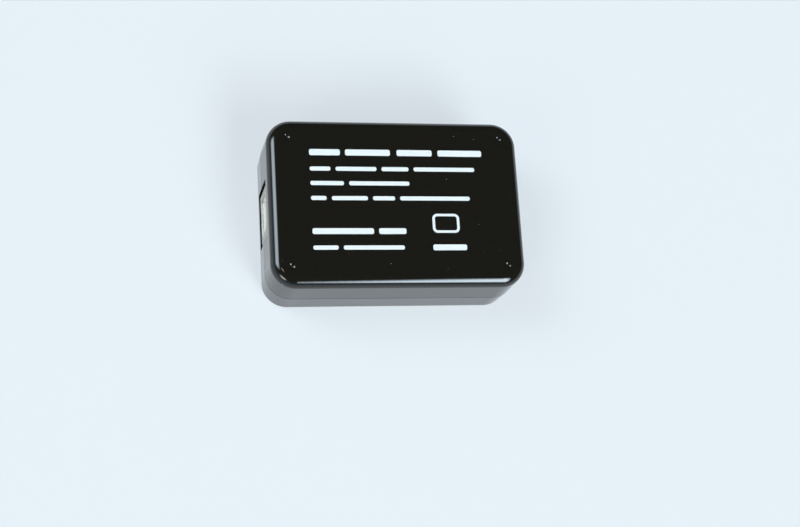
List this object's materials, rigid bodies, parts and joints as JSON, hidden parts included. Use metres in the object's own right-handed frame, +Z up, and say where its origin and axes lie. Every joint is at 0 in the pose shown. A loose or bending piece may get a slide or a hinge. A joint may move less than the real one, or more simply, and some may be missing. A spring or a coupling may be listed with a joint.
{
  "type": "usb isolator",
  "caption": "Small glossy black two-part case that isolates a serial bus: type B socket at one end, type A socket at the other, circuit board inside.",
  "frame": {"origin": "centre of the base, on the surface that the part stands on", "axes": "+Z up, +X from the type B end to the type A end, along the length"},
  "size_m": [0.06, 0.0404, 0.0198],
  "materials": {
    "case_black": "polished black ABS, lightly scratched and dusty",
    "plated_steel": "zinc plated",
    "board_green": "green solder mask",
    "socket_steel": "nickel plated, bright",
    "socket_ivory": "ivory moulding",
    "contact_gold": "gold plated",
    "chip_black": "fine matt moulding",
    "tinned_leads": "tin plated",
    "module_black": "matt black moulding",
    "potting_grey": "cast resin",
    "can_aluminium": "drawn, satin",
    "base_black": "matt black moulding",
    "ferrite_grey": "sintered ferrite",
    "fuse_green": "polymer sheet",
    "ceramic_tan": "fired ceramic",
    "resistor_black": "glass coated"
  },
  "bodies": {
    "root": {"top_cover": "case_black", "bottom_cover": "case_black", "case_screws": "plated_steel", "circuit_board": "board_green", "type_b_shell": "socket_steel", "type_b_insulator": "socket_ivory", "type_b_contacts": "contact_gold", "type_a_shell": "socket_steel", "type_a_insulator": "socket_ivory", "type_a_contacts": "contact_gold", "isolator_chip": "chip_black", "isolator_leads": "tinned_leads", "converter_case": "module_black", "converter_potting": "potting_grey", "converter_pins": "tinned_leads", "input_capacitor_can": "can_aluminium", "input_capacitor_base": "base_black", "output_capacitor_can": "can_aluminium", "output_capacitor_base": "base_black", "capacitor_tabs": "tinned_leads", "surge_arrays": "chip_black", "surge_array_leads": "tinned_leads", "line_choke": "ferrite_grey", "resettable_fuse": "fuse_green", "ferrite_beads": "ferrite_grey", "ceramic_capacitors": "ceramic_tan", "chip_resistors": "resistor_black", "chip_end_caps": "tinned_leads"}
  },
  "joints": []
}
